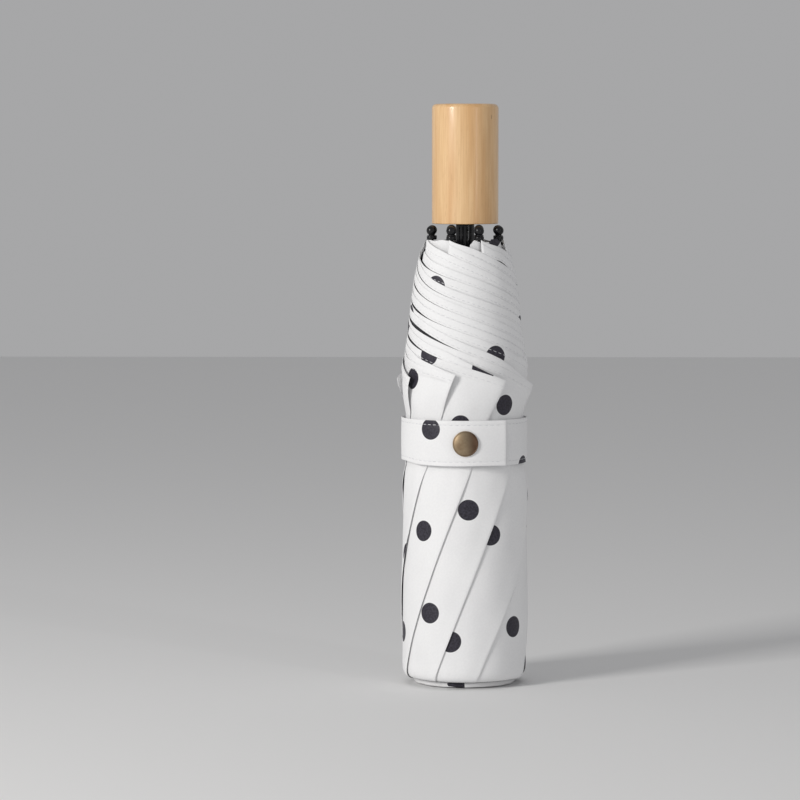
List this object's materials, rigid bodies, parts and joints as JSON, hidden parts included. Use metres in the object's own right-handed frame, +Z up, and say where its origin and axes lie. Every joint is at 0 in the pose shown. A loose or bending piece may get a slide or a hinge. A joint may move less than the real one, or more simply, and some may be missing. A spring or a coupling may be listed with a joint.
{
  "type": "folding umbrella",
  "caption": "Compact folding umbrella, furled and strapped: spotted cloth wound round nested ribs and telescopic shaft, cylindrical wooden handle, snap-fastened strap.",
  "frame": {"origin": "middle of the crown's resting face, on the shaft axis, with the umbrella standing on its crown and its handle up", "axes": "+Z up the shaft to the handle, -Y towards the strap's snap, +X to the right seen from the front"},
  "size_m": [0.068, 0.0692, 0.297],
  "materials": {
    "canopy_cloth": "white plain-weave polyester with dark spots, black coating inside",
    "handle_wood": "clear-lacquered light wood with fine upright grain",
    "black_plastic": "moulded, semi-gloss",
    "black_steel": "black enamelled tube",
    "rib_steel": "black pressed steel",
    "bright_steel": "bright wire and spring steel",
    "antique_brass": "antique brass snap"
  },
  "bodies": {
    "frame": {"crown_cap": "black_plastic", "notch": "black_plastic", "notch_wire": "bright_steel", "outer_tube": "black_steel", "runner": "black_plastic", "runner_wire": "bright_steel", "inner_rib_1": "rib_steel", "inner_rib_2": "rib_steel", "inner_rib_3": "rib_steel", "inner_rib_4": "rib_steel", "inner_rib_5": "rib_steel", "inner_rib_6": "rib_steel", "inner_rib_7": "rib_steel", "inner_rib_8": "rib_steel", "middle_rib_1": "rib_steel", "middle_rib_2": "rib_steel", "middle_rib_3": "rib_steel", "middle_rib_4": "rib_steel", "middle_rib_5": "rib_steel", "middle_rib_6": "rib_steel", "middle_rib_7": "rib_steel", "middle_rib_8": "rib_steel", "outer_rib_1": "rib_steel", "outer_rib_2": "rib_steel", "outer_rib_3": "rib_steel", "outer_rib_4": "rib_steel", "outer_rib_5": "rib_steel", "outer_rib_6": "rib_steel", "outer_rib_7": "rib_steel", "outer_rib_8": "rib_steel", "stretcher_1": "rib_steel", "stretcher_2": "rib_steel", "stretcher_3": "rib_steel", "stretcher_4": "rib_steel", "stretcher_5": "rib_steel", "stretcher_6": "rib_steel", "stretcher_7": "rib_steel", "stretcher_8": "rib_steel", "rib_tip_1": "black_plastic", "rib_tip_2": "black_plastic", "rib_tip_3": "black_plastic", "rib_tip_4": "black_plastic", "rib_tip_5": "black_plastic", "rib_tip_6": "black_plastic", "rib_tip_7": "black_plastic", "rib_tip_8": "black_plastic", "canopy": "canopy_cloth", "strap_band": "canopy_cloth", "snap_stud": "antique_brass"},
    "mid_tube": {"mid_tube": "black_steel"},
    "handle": {"inner_tube": "black_steel", "handle": "handle_wood", "handle_insert": "black_plastic", "handle_pin": "bright_steel"},
    "strap_tail": {"strap_tail": "canopy_cloth", "snap_socket": "antique_brass", "snap_cap": "antique_brass"},
    "top_catch": {"top_catch": "bright_steel"}
  },
  "joints": [
    {"name": "mid_tube_slide", "type": "slide", "parent": "frame", "child": "mid_tube", "axis": [0, 0, 1], "range_m": [0, 0.13]},
    {"name": "inner_tube_slide", "type": "slide", "parent": "mid_tube", "child": "handle", "axis": [0, 0, 1], "range_m": [0, 0.13]},
    {"name": "strap_tail_hinge", "type": "hinge", "parent": "frame", "child": "strap_tail", "pos_m": [-0.02509, -0.02105, 0.1256], "axis": [0, 0, -1], "range_deg": [0, 110]},
    {"name": "top_catch_press", "type": "slide", "parent": "frame", "child": "top_catch", "axis": [0, 1, 0], "range_m": [0, 0.0019], "stiffness_N_per_m": 300}
  ]
}
